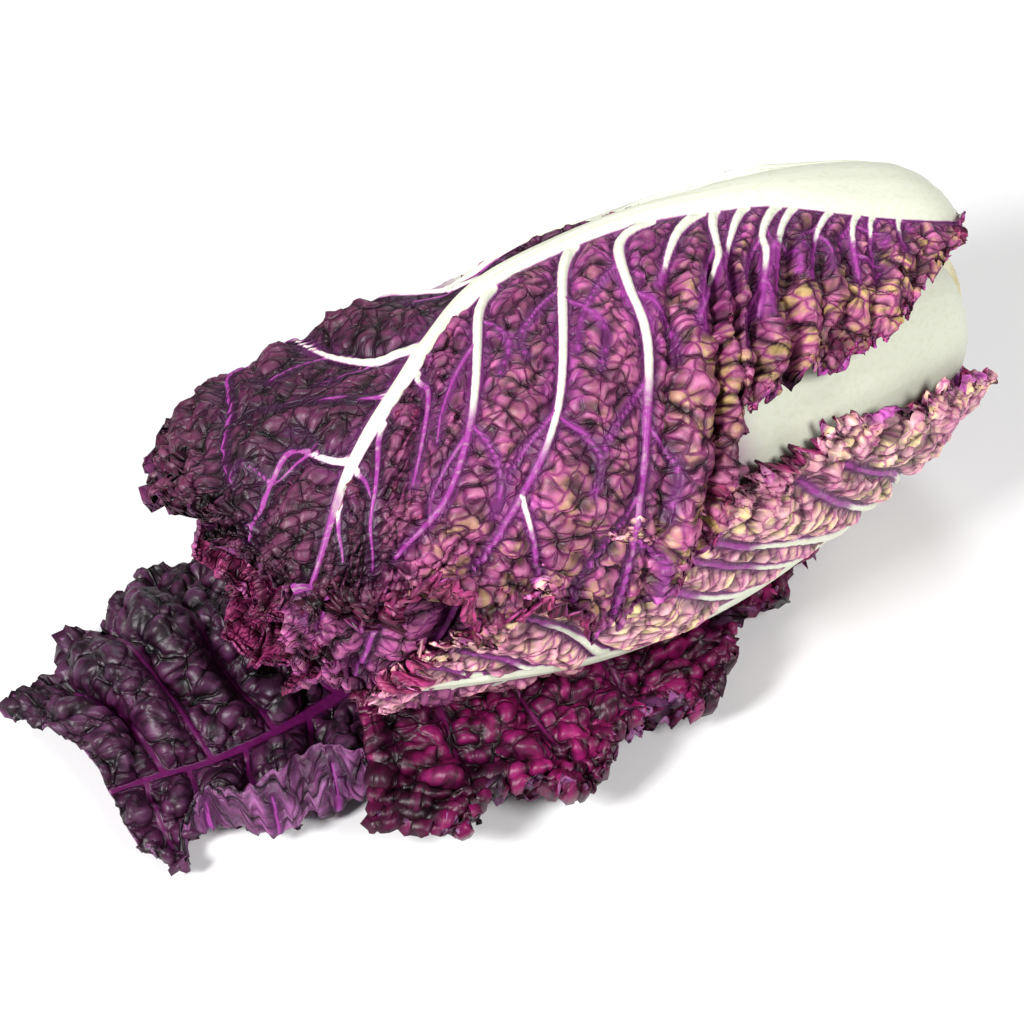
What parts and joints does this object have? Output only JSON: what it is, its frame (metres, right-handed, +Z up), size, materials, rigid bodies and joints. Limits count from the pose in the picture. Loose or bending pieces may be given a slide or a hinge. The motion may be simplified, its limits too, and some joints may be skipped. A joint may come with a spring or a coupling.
{
  "type": "napa cabbage",
  "caption": "Purple napa cabbage head lying on its side, with thick white midribs, wrapped veined leaves and two loose outer leaves.",
  "frame": {"origin": "on the flat underside of the loose leaf, under the middle of the head's axis", "axes": "+X from the leaf tips to the cut stem, +Z up, so -Y is the side that the skirt leaf spreads to"},
  "size_m": [0.3824, 0.158, 0.1561],
  "materials": {
    "stem_flesh": "moist cut stem, off-white",
    "heart_leaf": "smooth, pale yellow-green",
    "top_wrapper": "waxy purple leaf with a glossy near-white midrib",
    "under_wrapper": "waxy pale olive leaf with purple veins",
    "back_wrapper": "waxy dark purple leaf with a near-white midrib",
    "front_stalk_leaf": "glossy white stalk, slightly purple blade",
    "rear_wrapper": "waxy purple leaf with a near-white midrib",
    "inner_leaf": "waxy, purple at the tips and pale below",
    "dark_loose_leaf": "waxy, nearly black purple with magenta veins",
    "magenta_loose_leaf": "waxy, dark magenta, crinkled"
  },
  "bodies": {
    "root": {"cut_stem": "stem_flesh", "heart_bud": "heart_leaf", "top_leaf": "top_wrapper", "under_leaf": "under_wrapper", "back_leaf": "back_wrapper", "front_leaf": "front_stalk_leaf", "rear_leaf": "rear_wrapper", "loose_leaf": "dark_loose_leaf", "skirt_leaf": "magenta_loose_leaf", "inner_leaf_1a": "inner_leaf", "inner_leaf_1b": "inner_leaf", "inner_leaf_2a": "inner_leaf", "inner_leaf_2b": "inner_leaf", "inner_leaf_3a": "inner_leaf", "inner_leaf_3b": "inner_leaf", "inner_leaf_4a": "inner_leaf", "inner_leaf_4b": "inner_leaf", "inner_leaf_5a": "inner_leaf", "inner_leaf_5b": "inner_leaf", "inner_leaf_6a": "inner_leaf", "inner_leaf_6b": "inner_leaf", "inner_leaf_7a": "inner_leaf", "inner_leaf_7b": "inner_leaf"}
  },
  "joints": []
}
